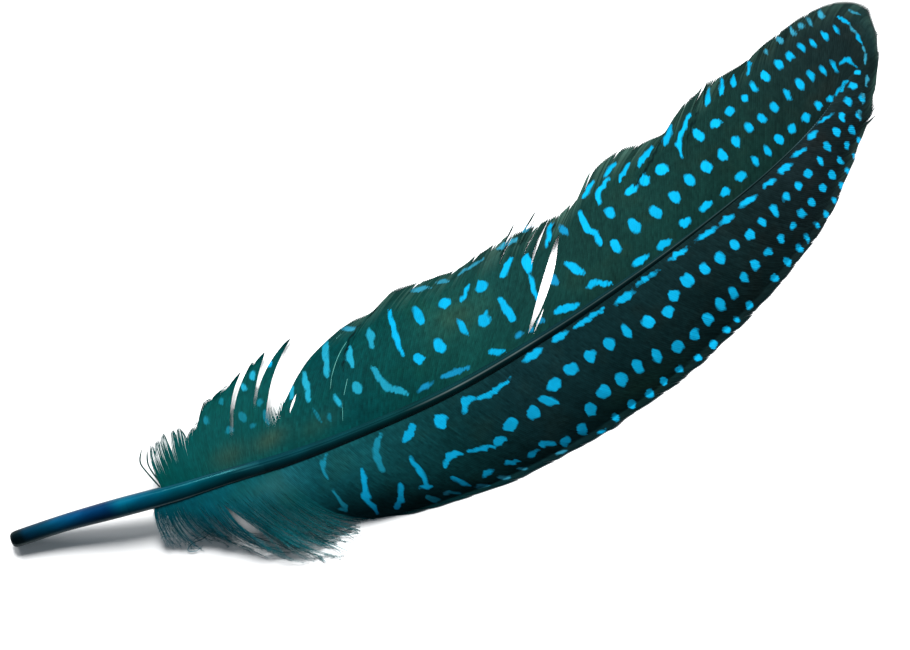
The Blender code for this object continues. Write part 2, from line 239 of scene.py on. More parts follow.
# Round marks, row by row: x, y and their size along x and y
SPOTS = [
    ("dash", [
        (77, -16.7, 3, 0.8), (96, -17.9, 1.6, 0.8), (98.3, -18.3, 1.2, 1), (100.5, -17.9, 1.4, 1),
    ]),
    ("cyan", [
        (111.5, -17.3, 2.5, 1.3), (121, -18.4, 3.5, 1.2), (126, -18.2, 3, 1.4), (131.3, -17, 2.4, 1.5),
        (136, -16.5, 2.8, 1.3), (140.2, -16.2, 2.3, 1.4), (144.2, -15.4, 2.1, 1.5), (147.8, -14.4, 1.4, 2),
        (150.7, -14.1, 1.2, 2), (153.6, -13.6, 1.5, 1.9), (156.6, -13.1, 1.4, 1.8),
        (159.7, -12.8, 1.6, 1.7), (162.8, -12.2, 1.3, 1.8), (165.2, -12.3, 1.3, 1.2),
    ]),
    ("cyan", [
        (78.7, -12, 1.8, 2), (83, -12, 2, 2.8), (88.2, -11.5, 1.3, 3.2), (92, -12.5, 2.4, 2),
        (118.7, -14, 1.7, 2.5), (123.5, -12.7, 2, 2.9), (128, -12.6, 2, 2.6), (132.3, -12.3, 1.8, 2.3),
        (136.2, -11, 1.9, 2.3), (140, -10.8, 1.9, 2.4), (143.5, -10.4, 1.5, 2.3), (146.9, -9.7, 1.5, 2),
        (150.2, -8.9, 1.4, 2.1), (153, -8.7, 1.4, 2), (156, -8.3, 1.2, 2), (159.2, -7.6, 1.3, 2.1),
        (162.1, -7.2, 1.2, 2.2), (164.6, -7.2, 1.1, 2.1), (167, -7.4, 1, 2), (169, -7.8, 0.9, 2.1),
    ]),
    ("cyan", [
        (87.9, -6.1, 2.2, 1.6), (95, -7.1, 2.4, 1.8), (121.2, -8.3, 1.7, 2.1), (126.5, -7, 2.6, 1.4),
        (129.5, -6.9, 2, 1.9), (133.2, -6.9, 2.2, 2), (142, -5.2, 1.8, 2.6), (145.7, -5.1, 2, 1.5),
        (149, -4.6, 1.7, 1.5), (152.5, -4, 1.4, 1.5), (155, -3.2, 1.2, 2), (157.8, -2.8, 1.4, 2),
        (161, -2.2, 1.2, 2.2), (163.5, -1.9, 1.3, 1.9), (166.1, -2, 1, 2), (168.2, -2.3, 1, 1.8),
        (170.7, -2.3, 1, 2.1), (173, -2.3, 0.9, 2),
    ]),
    ("dash", [(106.3, -13, 1.5, 2.2), (112.7, -6.5, 1.2, 2.5)]),
    ("dim", [
        (50.8, -3.3, 1.6, 1.4), (47, -3.9, 1.2, 1.8), (45, 0.4, 1.2, 1.2), (43.8, -4.6, 1.6, 1.2),
        (41, -1, 1.2, 1.4), (47.7, -6.3, 1.4, 0.8), (60, -12.2, 1, 1.6),
    ]),
    ("teal", [
        (66.9, -10.4, 1.8, 2.2), (52.2, 1.5, 1.4, 1.6), (49.7, 0.5, 1.2, 1.5), (62.7, -10.6, 0.9, 2.6),
    ]),
    ("cyan", [(55.6, 1.7, 1.3, 1.5)]),
    ("pale", [
        (160.4, 1, 0.8, 1.2), (163.6, 1.4, 0.9, 1.7), (166.4, 1.6, 0.8, 1.9), (168.3, 1.5, 0.7, 1.2),
        (170, 1.2, 0.7, 1.8), (172.4, 1.2, 0.9, 1.5),
    ]),
    ("lower", [
        (76, -23.3, 2.6, 2.6), (96, -22.2, 4.2, 1.4), (101.7, -22, 3.4, 1.3), (115, -22.4, 4, 1.4),
        (120.3, -21.6, 4.5, 0.8), (127.2, -21, 4, 1.1), (133.5, -20.7, 4.3, 1), (138, -20.5, 3, 1.1),
        (142.8, -19.8, 3.8, 1), (147.8, -19.1, 2.7, 1), (151.7, -18.4, 3, 1), (155.3, -17.4, 3.2, 0.8),
        (159, -16.1, 2.2, 1), (162.5, -14.8, 3, 0.6), (170, -12.3, 1.4, 0.8), (172, -11, 1.2, 0.9),
    ]),
    ("lower", [
        (83, -31.9, 2.4, 1.6), (86.1, -30.5, 2.6, 2.2), (90.7, -31, 2.2, 2.5), (96.4, -28.7, 2.6, 2.2),
        (100.4, -27.9, 2.5, 2.3), (104.5, -27.8, 2.2, 2.3), (108.5, -27.8, 2, 2.4),
        (112.2, -27.6, 1.8, 2.5), (116.4, -28.2, 2.2, 2.5), (120.3, -28.6, 2.2, 2.2),
        (122.8, -26.8, 2.2, 2), (126.2, -25.9, 2.2, 2.4), (130, -25.8, 1.8, 2.2), (133.2, -25.5, 1.7, 2.3),
        (136.8, -25, 1.6, 2), (140, -24.9, 1.6, 1.9), (143, -24.3, 1.5, 1.8), (146.1, -23.8, 1.2, 2.2),
        (149.1, -22.8, 1.5, 1.7), (152, -22.2, 1.3, 1.7), (154.8, -21.4, 1.3, 1.5),
        (157.8, -20.6, 1.2, 1.9), (160.4, -19.3, 1.2, 1.8), (163.1, -17.9, 1.1, 1.8),
        (165.4, -16.2, 1.1, 1.7), (167.9, -14.4, 1, 1.8), (170, -12.5, 1, 1.4),
    ]),
    ("lower", [
        (78, -35.7, 2.4, 1), (86.5, -37.2, 2.4, 1.1), (92.8, -38.5, 1.8, 1.6), (96.4, -38.2, 2, 2.2),
        (99.6, -36, 2, 2.6), (103.3, -34.6, 2.4, 2.5), (107, -34.4, 1.9, 2.6), (110.7, -34, 2, 2.6),
        (114.6, -34.3, 1.9, 2.5), (118.7, -35, 2, 2.2), (122.4, -34.7, 2, 2), (125.8, -33.7, 1.8, 2.4),
        (129, -32.7, 1.7, 2.5), (132.1, -32.1, 1.5, 2.3), (135.2, -31, 1.5, 1.8), (138, -30, 1.6, 1.9),
        (141.3, -29.4, 1.6, 1.4), (144.4, -28.6, 1.5, 1.6), (147.5, -27.9, 1.5, 1.2),
        (150.2, -26.8, 1.3, 1.8), (152.8, -26, 1.2, 1.7), (155.8, -25, 1.2, 1.5), (158.5, -24, 1.1, 1.6),
        (161, -22.6, 1, 1.6), (163.5, -21, 1.1, 1.3), (165.8, -19.3, 0.9, 1.7), (168, -17.6, 0.8, 1.5),
        (170.3, -15.5, 0.8, 1.4),
    ]),
    ("lower", [
        (99.2, -40.6, 1.6, 0.7), (102.6, -39.8, 1.2, 1.6), (106.3, -39.3, 1.4, 1.5), (110, -39.3, 1.6, 1.8),
        (113.3, -39, 1.4, 1.5), (116.8, -38.6, 1.4, 1.5), (120.8, -38.7, 1.4, 1.5),
        (124.4, -38.2, 1.4, 1.5), (127.8, -37.2, 1.4, 1.5), (130.2, -36.6, 1.2, 1.5),
        (133.6, -35.7, 1.4, 1.5), (140, -34, 1.2, 1.6), (143.5, -32.8, 1.2, 1.7), (146.7, -32, 1.1, 1.8),
        (148.7, -31.2, 0.9, 1.8), (151.5, -30.2, 0.9, 1.6), (154, -29.3, 0.9, 1.6), (156.4, -28, 0.9, 1.6),
        (159, -26.7, 0.9, 1.6), (161.4, -25, 0.8, 1.6), (163.7, -23.4, 0.8, 1.5), (166, -21.6, 0.8, 1.4),
    ]),
]

# Drawn-out marks, by colour: width and the points that they run through
STROKES = [
    ("dash", [(1, [(80.5, -17), (85.5, -17.9)])]),
    ("cyan", [
        (1.2, [(90, -17.7), (92, -19)]), (1.3, [(103.5, -17.9), (107.5, -19)]),
        (0.9, [(111.5, -17.3), (114.5, -19)]), (0.6, [(166.5, -12.2), (169.5, -11.3)]),
        (0.8, [(92, -12.5), (93.3, -11.3)]), (1.6, [(96.5, -11), (96.5, -15)]),
        (1.8, [(104.4, -7), (103.5, -9.3)]), (0.9, [(103.2, -10.2), (102.6, -12), (102, -14.2)]),
        (1.6, [(109.8, -11.8), (111.3, -15)]), (0.7, [(170.3, -8.2), (171.5, -7.8), (172.3, -9.8)]),
        (0.6, [(93.2, -5.8), (90.5, -7.5)]), (1.2, [(102, -5.8), (99, -7.6)]),
        (0.9, [(108.5, -7.4), (111.5, -4.5)]),
        (1.2, [(116.8, -5.5), (116.2, -8.5), (117, -10.5), (116.5, -12.3)]),
        (0.8, [(137.3, -7), (138.3, -4.5), (140.5, -2.8), (143, -1)]),
        (0.9, [(174.3, -0.6), (175.2, -1.6), (175.4, -2.8)]),
    ]),
    ("pale", [(0.45, [(175.4, -2.8), (175.5, -4.3), (175.6, -5.2)])]),
    ("cyan", [(0.7, [(175.6, -5.2), (175.6, -7)])]),
    ("pale", [
        (0.5, [(175.5, -7.5), (175.2, -8.6)]), (0.4, [(177, -0.6), (177.6, -1.6), (178.2, -2.4)]),
        (0.6, [(175.1, -9), (174, -10.4)]), (0.5, [(173.2, -12.2), (172.3, -14)]),
        (0.5, [(170.8, -14.7), (170, -16.4)]), (0.5, [(168.8, -17), (167.8, -18.6)]),
        (0.8, [(70, -0.2), (72, -1.3)]), (0.8, [(84, -1), (87, -2.2)]), (0.8, [(88.5, -2.2), (90.5, -3)]),
        (0.5, [(92.5, -3.1), (98, -3.2)]), (0.9, [(101, -3), (105, -3.3)]),
        (0.8, [(106.5, -2.7), (110, -3)]),
    ]),
    ("cyan", [
        (0.8, [(119, -3.5), (122, -2)]), (0.9, [(120.5, -6), (121.5, -4.2), (124.5, -3.2)]),
        (0.8, [(124, -2.3), (127, -1.3)]), (0.8, [(125.5, -4.5), (129, -2.8)]),
        (0.9, [(130, -4), (134, -2.5)]), (0.9, [(136, -3.5), (139, -1.2)]),
        (0.8, [(146.3, -1.5), (148.3, 0.8)]), (0.8, [(149.5, -1.3), (151.2, 1)]),
        (0.7, [(152.2, -1.2), (153.3, 0.6)]), (0.7, [(155.5, -0.6), (157, 0.8)]),
    ]),
    ("teal", [
        (0.7, [(56, -17.5), (54.5, -18.5), (53.8, -21)]),
        (1.2, [(65.8, -19.8), (64, -21), (63, -24), (62.7, -25.2)]),
    ]),
    ("lower", [
        (1.5, [(69, -22.8), (71.5, -21.5)]), (1.4, [(80.5, -24.2), (81.6, -22.6), (83, -23)]),
        (1, [(83, -23), (86, -24), (90.5, -23.5)]), (1, [(104.8, -22.1), (111, -22.1)]),
        (1.1, [(72.3, -30.5), (74.2, -29.4), (76.2, -30.2)]), (0.9, [(77.3, -30.5), (81.5, -32.2)]),
        (1.5, [(93, -29.5), (95, -31.5)]),
    ]),
    ("teal", [(0.8, [(66.5, -33.5), (68, -35.3)]), (0.8, [(70.5, -35), (71.8, -36.2)])]),
    ("lower", [
        (0.8, [(72.3, -33), (74, -35.8)]), (0.9, [(81.8, -36), (83.8, -37)]),
        (1.2, [(88.7, -36.3), (90.7, -37.7)]),
    ]),
    ("pale", [
        (0.5, [(69.6, -34.7), (71.6, -35.8)]), (0.6, [(75, -36.8), (77, -37.8)]),
        (0.6, [(79.3, -37.6), (81, -38.6)]), (0.6, [(83, -38.1), (84.5, -38.9)]),
        (0.6, [(90.3, -39.6), (92, -40.1)]),
    ]),
    ("teal", [
        (1.1, [(60.2, -3), (58.5, -7.8)]), (0.9, [(57.2, -4), (55.9, -5.8)]),
        (1.2, [(66.5, -0.3), (65.5, -1.5), (64.3, -4), (63.3, -6)]),
    ]),
    ("dim", [(0.7, [(58.3, -9.5), (58.2, -12)])]),
    ("teal", [
        (1.1, [(69.3, -3.5), (68, -6.8)]), (1.3, [(74, -3), (72.9, -5.8)]),
        (1.3, [(71, -9), (71.3, -13), (72.5, -14.5), (73.8, -16)]),
    ]),
    ("cyan", [(1, [(78.8, -1.8), (77.5, -6), (76.6, -10)]), (1.5, [(82.9, -4), (82.6, -6.8)])]),
    ("dim", [(0.9, [(50.8, -5), (50.3, -7.2)])]),
    ("teal", [(0.9, [(53.5, -23.5), (53.5, -27.3), (52.5, -27)])]),
    ("lower", [
        (1.1, [(59.8, -23), (58.8, -25.5), (57.6, -27.5), (57.8, -30), (57.6, -31.2)]),
        (1.1, [(64, -29), (62.8, -31), (61, -32.3)]), (1, [(68, -26), (68.2, -29), (67.8, -32)]),
        (0.8, [(66.8, -31.5), (68.5, -32.3)]),
    ]),
    # Painted shadow: near-black lines along the creases, where one group of barbs laps the next
    ("crease", [
        (0.34, [(136.6, -1.9), (133.9, -3.8), (129.8, -5.8), (127.4, -7)]),
        (0.36, [(113.4, -3.8), (110.4, -6), (108.8, -8.2)]),
        (0.3, [(144.6, -1.6), (141.6, -3.4), (139.6, -5)]),
        (0.3, [(73.6, -0.9), (70.4, -2.4), (67.6, -4.6), (66.2, -7)]),
    ]),
]

# Soft patches of the ground: middle, reach along x and y, colour and strength
PATCHES = [
    (41.5, -8.5, 3.2, 2, (34, 50, 38), 0.5),
    (49, -9.9, 3.2, 1.6, (38, 52, 38), 0.6),
    (57.5, -12.2, 4, 1.6, (24, 48, 38), 0.4),
    (88, -9, 5, 3, (26, 54, 44), 0.5),
    (60, -30, 5, 2.6, (2, 16, 20), 0.8),
    (66, -33.6, 5, 2.4, (2, 14, 18), 0.7),
    (54.6, -27, 3, 2.6, (4, 24, 28), 0.6),
    (45.5, -17.4, 5, 2.6, (30, 84, 92), 0.5),
    (110, -37.5, 8, 2.5, (16, 42, 36), 0.6),
]

# How much of the rim is pale, by x
UPPER_RIM = ((-30, -14, 0, 20, 36, 52, 62, 78, 90), (0.1, 0.5, 0.3, 0.7, 0.7, 0.7, 0.3, 0.15, 0.35))
LOWER_RIM = ((-30, 60, 80, 90), (0.0, 0.05, 0.3, 0.4))
RIM_TONE = (66, 96, 86)
RIM_START = 0.72             # part of a barb's length at which its end begins to turn pale
RIM_BLEND = 0.24
PALE_EDGE_TONE = (70, 130, 124)

# Brightness of the marks, by x
MARK_LIGHT = ((-30, -5, 12, 30, 66, 80), (0.95, 0.82, 0.90, 1.0, 1.0, 1.0))

# Ground colours of the feather, by x
UPPER_GROUND = [
    (-62, (0, 48, 47)), (-36, (1, 50, 49)), (-25, (0, 43, 44)), (-14, (1, 44, 42)), (-5, (6, 48, 44)),
    (8, (8, 42, 39)), (25, (10, 36, 32)), (38, (10, 38, 34)), (60, (10, 32, 28)), (75, (13, 26, 25)),
    (84, (15, 26, 26)), (89, (18, 36, 36)),
]
LOWER_GROUND = [
    (-50, (10, 70, 76)), (-44, (12, 70, 76)), (-37, (10, 62, 68)), (-28, (10, 56, 60)), (-14, (8, 42, 44)),
    (0, (10, 34, 37)), (20, (8, 28, 30)), (50, (12, 27, 28)), (68, (16, 26, 28)), (89, (16, 30, 30)),
]
DOWN_GROUND = [
    (-66, (3, 72, 84)), (-55, (4, 64, 74)), (-48, (8, 70, 76)), (-42, (8, 66, 70)), (-32, (6, 54, 60)),
]
# Painted light: how much lighter the down is, by part of a barb's length, most towards the tips where light
# comes through the thin down
DOWN_PAINTED_LIGHT = ((0.0, 1.2), (0.4, 1.2), (1.0, 2.2))
SHAFT_GROUND = [
    (-89.4, (1, 2, 5)), (-87.4, (1, 4, 10)), (-86.4, (0, 28, 48)), (-82.5, (0, 40, 60)),
    (-79.5, (0, 50, 80)), (-75, (0, 38, 74)), (-71.5, (0, 34, 70)), (-68.8, (0, 70, 92)),
    (-66, (0, 58, 80)), (-60, (0, 52, 64)), (-52, (0, 46, 54)), (-44, (0, 34, 42)), (-20, (0, 26, 28)),
    (10, (2, 18, 22)), (50, (6, 20, 21)), (65, (9, 24, 26)), (70, (40, 66, 76)), (76, (40, 66, 76)),
    (83, (10, 26, 28)),
]


def linear(colour):
    """Linear light of a colour given as it shows on a screen, 0 to 255."""
    c = np.asarray(colour, float) / 255
    return np.where(c <= 0.04045, c / 12.92, ((c + 0.055) / 1.055) ** 2.4)


def ramp(stops, at):
    """Colours between a table's stops, in linear light."""
    places = [place for place, _ in stops]
    colours = linear([colour for _, colour in stops])
    return np.stack([np.interp(at, places, colours[:, c]) for c in range(3)], -1)


def smooth(knots, values, at):
    """Cubic through the values at the knots, with each slope the mean of the spans beside it."""
    knots = np.asarray(knots, float)
    values = np.asarray(values, float)
    spans = np.diff(knots)
    rises = np.diff(values, axis=0) / spans[:, None]
    slopes = np.vstack((rises[:1], (rises[1:] + rises[:-1]) / 2, rises[-1:]))
    i = np.clip(np.searchsorted(knots, at, side="right") - 1, 0, len(spans) - 1)
    h = spans[i][:, None]
    u = ((at - knots[i]) / spans[i])[:, None]
    start = values[i] * (1 + 2 * u) * (1 - u) ** 2 + slopes[i] * h * u * (1 - u) ** 2
    end = values[i + 1] * u * u * (3 - 2 * u) + slopes[i + 1] * h * u * u * (u - 1)
    return start + end


def shaft_at(x):
    """Middles of the shaft (x, y, z) and its radii at an array of x."""
    rows = smooth([row[0] for row in SHAFT], [row[1:] for row in SHAFT], x)
    return np.column_stack((x, rows[:, :2])), rows[:, 2] / 2


def waviness(count, wavelength, amplitude):
    """Smooth random values, one for each of a run of neighbours."""
    knots = np.arange(-2, count / wavelength + 3)
    values = random.uniform(-1, 1, len(knots))[:, None]
    return amplitude * smooth(knots, values, np.arange(count) / wavelength)[:, 0]


class Barbs:
    """A run of neighbouring barbs: where each one's middle lies, how wide and how deep it is.

    Arrays have one row for each barb and one column for each step along it.
    """

    def __init__(self, rows, steps):
        """rows: x at the root, x, y and height of the tip, and the angle at the root."""
        root_x, tip_x, tip_y, tip_z, angle = np.asarray(rows, float).T
        centre, radius = shaft_at(root_x)
        turn = np.radians(angle)
        leave = np.column_stack((np.cos(turn), np.sin(turn)))
        root = centre[:, :2] + leave * (radius * ROOT_DEPTH)[:, None]
        tip = np.column_stack((tip_x, tip_y))
        self.length = np.linalg.norm(tip - root, axis=1)
        bend = root + leave * (self.length * BARB_BOW)[:, None]
        thick = THIN + (THICKNESS - THIN) * np.minimum(radius, 1.0)
        root_z = centre[:, 2] + radius * ROOT_DEPTH - thick / 2
        t = np.broadcast_to(steps, (len(root), len(steps))).copy()
        self.t = t
        s = t[..., None]
        self.plan = root[:, None] * (1 - s) ** 2 + bend[:, None] * 2 * s * (1 - s) + tip[:, None] * s ** 2
        fall = np.minimum(t / FLAT_RIM, 1.0)
        drop = DROOP_FIRST * fall + (1 - DROOP_FIRST) * fall ** 2
        self.under = tip_z[:, None] + (root_z - tip_z)[:, None] * (1 - drop)
        self.depth = thick[:, None] + (TIP_THICKNESS - thick)[:, None] * np.minimum(t, 1.0) ** 3
        self.half = BARB_OVERLAP / 2 * self.spacing()
        self.own = random.random(len(root))

    @classmethod
    def along(cls, lines, steps, half, depth):
        """Single barbs through places measured from the quill's end, each with its height."""
        made = cls.__new__(cls)
        paths = np.array([smooth(np.arange(len(line)), line, steps * (len(line) - 1)) for line in lines])
        made.plan = paths[..., :2] + QUILL_END
        made.under = paths[..., 2]
        made.t = np.broadcast_to(steps, made.under.shape).copy()
        made.length = np.linalg.norm(np.diff(made.plan, axis=1), axis=2).sum(1)
        made.half = np.full_like(made.t, half)
        made.depth = np.full_like(made.t, depth)
        made.own = random.random(len(lines))
        return made

    def headings(self):
        """Unit vectors along each barb and to its left, in plan."""
        along = np.gradient(self.plan, axis=1)
        along /= np.maximum(np.linalg.norm(along, axis=2, keepdims=True), 1e-9)
        return along, np.stack((-along[..., 1], along[..., 0]), -1)

    def spacing(self):
        """Distance across to the neighbours, the mean of both sides."""
        _, left = self.headings()
        step = np.diff(self.plan, axis=0)
        gap = np.abs((step * (left[1:] + left[:-1]) / 2).sum(2))
        return (np.vstack((gap[:1], gap)) + np.vstack((gap, gap[-1:]))) / 2

    def shift(self, sideways, lift=0.0):
        _, left = self.headings()
        self.plan += left * np.asarray(sideways)[..., None]
        self.under += lift

    def distance_to(self, place):
        """Distance of every step of every barb to a place measured from the quill's end."""
        return np.linalg.norm(self.plan - (np.array(place) + QUILL_END), axis=2)

    def sweep(self, amount, onwards, start=0.70, settle=1):
        """Leans the ends of the barbs along the rim, towards the feather's tip.

        The lean fades out over the last barbs before the tip, and over as many as settle says at
        the other end.
        """
        rim = np.gradient(self.plan[:, -1], axis=0)
        rim *= onwards / np.linalg.norm(rim, axis=1, keepdims=True)
        to_tip = np.arange(len(rim))[::-onwards]
        fade = np.minimum(to_tip / SWEEP_FADE, 1.0) * np.minimum((to_tip[::-1] + 1) / settle, 1.0)
        bent = np.clip((self.t - start) / (1 - start), 0, 1) ** 2
        self.plan += rim[:, None] * ((amount * fade)[:, None] * bent)[..., None]

    def taper(self, length, least=0.02):
        """Narrows each barb to a point over its last stretch, of one length or a column of them."""
        to_go = (1 - self.t) * self.length[:, None]
        share = np.clip(to_go / length, 0, 1) ** 0.6
        self.half = self.half * share + least * (1 - share)
        self.depth = np.maximum(self.depth * (0.35 + 0.65 * share), 0.05)

    def points(self):
        """Four points round each barb at each step: left side, ridge, right side and keel."""
        _, left = self.headings()
        out = left * self.half[..., None]
        floor = np.maximum(self.under, 0.0)
        ridge = BARB_RIDGE * np.minimum(self.half / 0.2, 1.0)
        side_z = floor + self.depth
        corners = (
            np.dstack((self.plan + out, side_z)),
            np.dstack((self.plan, floor + self.depth + ridge)),
            np.dstack((self.plan - out, side_z)),
            np.dstack((self.plan, floor)),
        )
        return np.stack(corners, 2)


def tube_faces(count, steps, sides=4):
    """Quads of closed tubes whose points come as count x steps x sides, and their end caps."""
    index = np.arange(count * steps * sides).reshape(count, steps, sides)
    after = np.roll(index, -1, axis=2)
    walls = np.stack((index[:, :-1], index[:, 1:], after[:, 1:], after[:, :-1]), -1).reshape(-1, 4)
    caps = np.concatenate((index[:, 0, :], index[:, -1, ::-1]))
    return walls.tolist() + caps.tolist()


def add_object(name, data):
    made = bpy.data.objects.new(name, data)
    bpy.context.scene.collection.objects.link(made)
    return made


def add_piece(name, points, faces, material):
    mesh = bpy.data.meshes.new(name)
    mesh.from_pydata((points.reshape(-1, 3) * MM).tolist(), [], faces)
    mesh.update()
    mesh.materials.append(material)
    piece = add_object(name, mesh)
    planar_uv(mesh)
    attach(piece, "root")
    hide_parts("feather")
    return piece


def planar_uv(mesh):
    """Plan map named OFBake: faces that look up in one half, the others beside them."""
    corner = np.zeros(len(mesh.loops), np.int32)
    mesh.loops.foreach_get("vertex_index", corner)
    place = np.zeros(len(mesh.vertices) * 3, np.float32)
    mesh.vertices.foreach_get("co", place)
    place = place.reshape(-1, 3)[:, :2]
    low, high = place.min(0), place.max(0)
    share = (place - low) / (high - low)
    normal = np.zeros(len(mesh.polygons) * 3, np.float32)
    mesh.polygons.foreach_get("normal", normal)
    total = np.zeros(len(mesh.polygons), np.int32)
    mesh.polygons.foreach_get("loop_total", total)
    down = np.repeat(normal.reshape(-1, 3)[:, 2] < 0, total)
    uv = share[corner]
    uv[:, 1] = uv[:, 1] * 0.49 + np.where(down, 0.505, 0.0)
    layer = mesh.uv_layers.new(name="OFBake")
    layer.data.foreach_set("uv", uv.ravel())


def add_values(piece, name, values):
    """Stores one number or one colour for each point of a piece."""
    values = np.asarray(values, float)
    if values.ndim == 1:
        made = piece.data.attributes.new(name, "FLOAT", "POINT")
        made.data.foreach_set("value", values.astype(np.float32))
        return
    made = piece.data.attributes.new(name, "FLOAT_COLOR", "POINT")
    opaque = np.column_stack((values, np.ones(len(values))))
    made.data.foreach_set("color", opaque.ravel().astype(np.float32))


# Plane waves that bend the outlines of the marks: direction, wavelength and phases
WAVES = [(random.uniform(0, 6.28), random.uniform(1.0, 2.8), random.uniform(0, 6.28, 2)) for _ in range(9)]
WAVE_SIZE = 0.055
STROKE_PIECES = 10           # straight pieces in a drawn-out mark
MARK_SLIP = 0.16             # how far a mark is out of line from one barb to the next
FAR = 99.0                   # distance beyond every mark


def wobble(place):
    """Small bends, so that no mark is a plain ellipse or bar."""
    bent = place.copy()
    for turn, wavelength, phases in WAVES:
        across = place @ (math.cos(turn), math.sin(turn)) * 2 * np.pi / wavelength
        bent += WAVE_SIZE * np.sin(across[:, None] + phases)
    return bent


def stroke_distance(place, width, line):
    """Signed distance of each place to the edge of a drawn-out mark, widest at its middle."""
    drawn = smooth(np.arange(len(line)), line, np.linspace(0, len(line) - 1, STROKE_PIECES + 1))
    nearest = np.full(len(place), FAR)
    for k in range(STROKE_PIECES):
        start, run = drawn[k], drawn[k + 1] - drawn[k]
        share = np.clip((place - start) @ run / (run @ run), 0, 1)
        radius = width / 2 * (0.6 + 0.4 * np.sin(np.pi * (k + share) / STROKE_PIECES))
        away = np.linalg.norm(place - start - share[:, None] * run, axis=1) - radius
        nearest = np.minimum(nearest, away)
    return nearest


def mark_field(plan):
    """Signed distance of each point to the nearest mark's edge, and that mark's colour."""
    place = wobble(plan - np.array(QUILL_END))
    nearest = np.full(len(place), FAR)
    colour = np.tile(linear(TONES["cyan"]), (len(place), 1))
    strength = np.random.default_rng(7)

    def put(distance, tone):
        closer = distance < nearest
        nearest[closer] = distance[closer]
        colour[closer] = linear(TONES[tone]) * strength.uniform(0.90, 1.06)

    for tone, spots in SPOTS:
        for x, y, wide, high in spots:
            a, b = wide / 2, high / 2
            off = place - (x, y)
            put((np.hypot(off[:, 0] / a, off[:, 1] / b) - 1) * min(a, b), tone)
    for tone, strokes in STROKES:
        for width, line in strokes:
            put(stroke_distance(place, width, line), tone)
    return nearest, colour


def add_barbs(name, barbs, ground, material, along_tint=((0, 1), (1, 1)), rim=((0, 1), (0, 0))):
    """Makes a run of barbs one piece, with its ground colours and its marks."""
    points = barbs.points()
    count, steps = points.shape[:2]
    piece = add_piece(name, points, tube_faces(count, steps), material)
    slip = (barbs.own - 0.5) * MARK_SLIP + waviness(count, 3, 0.05)
    along, _ = barbs.headings()
    sampled = points[..., :2] + (along * slip[:, None, None])[:, :, None]
    distance, mark = mark_field(sampled.reshape(-1, 2))
    add_values(piece, "spot", distance)
    at = np.repeat(barbs.t.ravel(), 4)
    x = points[..., 0].ravel()
    add_values(piece, "mark", mark * np.interp(x, *MARK_LIGHT)[:, None])
    colours = ramp(ground, x)
    place = sampled.reshape(-1, 2) - QUILL_END
    for *middle, wide, high, colour, amount in PATCHES:
        near = amount * np.exp(-(((place - middle) / (wide, high)) ** 2).sum(1))
        colours += (linear(colour) - colours) * near[:, None]
    tint = np.interp(at, *zip(*along_tint))
    add_values(piece, "ground", colours * tint[:, None])
    end = np.clip((at - RIM_START) / RIM_BLEND, 0, 1) ** 1.5
    add_values(piece, "pale", np.interp(x, *rim) * end)
    own = np.clip(barbs.own * 0.7 + waviness(count, 5, 0.3) + 0.15, 0, 1)
    add_values(piece, "own", np.repeat(own, steps * 4))
    add_values(piece, "out", np.repeat((barbs.t * barbs.length[:, None]).ravel(), 4))
    return piece


class Nodes:
    """Short way to build a material's node tree."""

    def __init__(self, name, **values):
        self.material = bpy.data.materials.new(name)
        self.material.use_nodes = True
        self.tree = self.material.node_tree
        self.shader = self.tree.nodes["Principled BSDF"]
        for key, value in values.items():
            self.shader.inputs[key.replace("_", " ")].default_value = value

    def fill(self, made, inputs):
        for key, value in inputs.items():
            if isinstance(value, bpy.types.NodeSocket):
                self.tree.links.new(value, made.inputs[key])
            else:
                made.inputs[key].default_value = value

    def add(self, kind, inputs, output=0, **settings):
        made = self.tree.nodes.new(kind)
        for key, value in settings.items():
            setattr(made, key, value)
        self.fill(made, inputs)
        return made.outputs[output]

    def value(self, name):
        return self.add("ShaderNodeAttribute", {}, "Fac", attribute_name=name)

    def colour(self, name):
        return self.add("ShaderNodeAttribute", {}, "Color", attribute_name=name)

    def math(self, operation, *inputs):
        return self.add("ShaderNodeMath", dict(enumerate(inputs)), operation=operation)

    def range(self, value, *ends):
        names = ("From Min", "From Max", "To Min", "To Max")
        return self.add("ShaderNodeMapRange", {"Value": value, **dict(zip(names, ends))})

    def noise(self, vector, scale, detail=2.0):
        return self.add("ShaderNodeTexNoise", {"Vector": vector, "Scale": scale, "Detail": detail}, "Fac")

    def mix(self, factor, a, b, blend="MIX"):
        inputs = {0: factor, 6: a, 7: b}
        return self.add("ShaderNodeMix", inputs, 2, data_type="RGBA", blend_type=blend)

    def grey(self, value):
        return self.add("ShaderNodeCombineColor", {0: value, 1: value, 2: value})

    def place(self):
        return self.add("ShaderNodeTexCoord", {}, "Object")

    def bump(self, height, strength, distance):
        inputs = {"Height": height, "Strength": strength, "Distance": distance}
        return self.add("ShaderNodeBump", inputs, "Normal")


